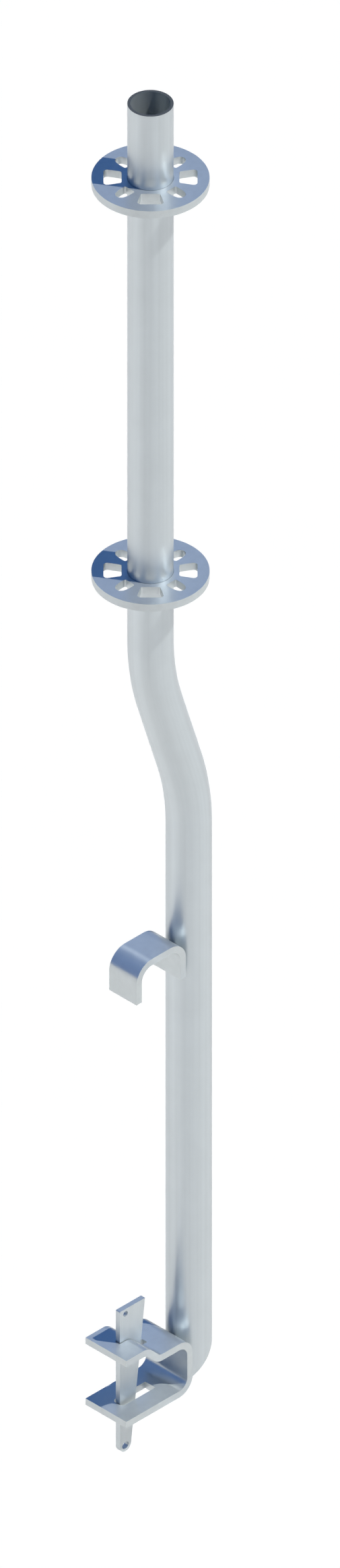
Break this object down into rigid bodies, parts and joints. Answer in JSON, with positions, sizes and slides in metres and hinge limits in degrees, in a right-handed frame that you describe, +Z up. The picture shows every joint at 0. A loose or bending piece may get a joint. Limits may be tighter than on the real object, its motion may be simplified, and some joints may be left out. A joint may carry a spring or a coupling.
{
  "type": "scaffold guardrail post",
  "caption": "Cranked galvanised tube post with rosettes for guardrails towards its top, and a hook and a wedge clamp that fix its foot to scaffold ledgers.",
  "frame": {"origin": "on the axis of the ledger that the clamp grips, in the post's plane of symmetry", "axes": "+X along the gripped ledger, +Z up the post, -Y out of the clamp's mouth, on the wedge's side"},
  "size_m": [0.123, 0.1459, 1.6924],
  "materials": {
    "galvanised_tube": "satin, galvanised",
    "galvanised_plate": "satin, galvanised",
    "wedge_steel": "satin, galvanised",
    "weld_metal": "satin, galvanised over weld"
  },
  "bodies": {
    "post": {"post_tube": "galvanised_tube", "upper_rosette": "galvanised_plate", "lower_rosette": "galvanised_plate", "upper_rosette_weld": "weld_metal", "lower_rosette_weld": "weld_metal", "hook": "galvanised_plate", "hook_welds": "weld_metal", "clamp_bracket": "galvanised_plate", "clamp_welds": "weld_metal"},
    "wedge": {"wedge": "wedge_steel"}
  },
  "joints": [
    {"name": "wedge_slide", "type": "slide", "parent": "post", "child": "wedge", "axis": [0, 0, 1], "range_m": [-0.03, 0.042]}
  ]
}
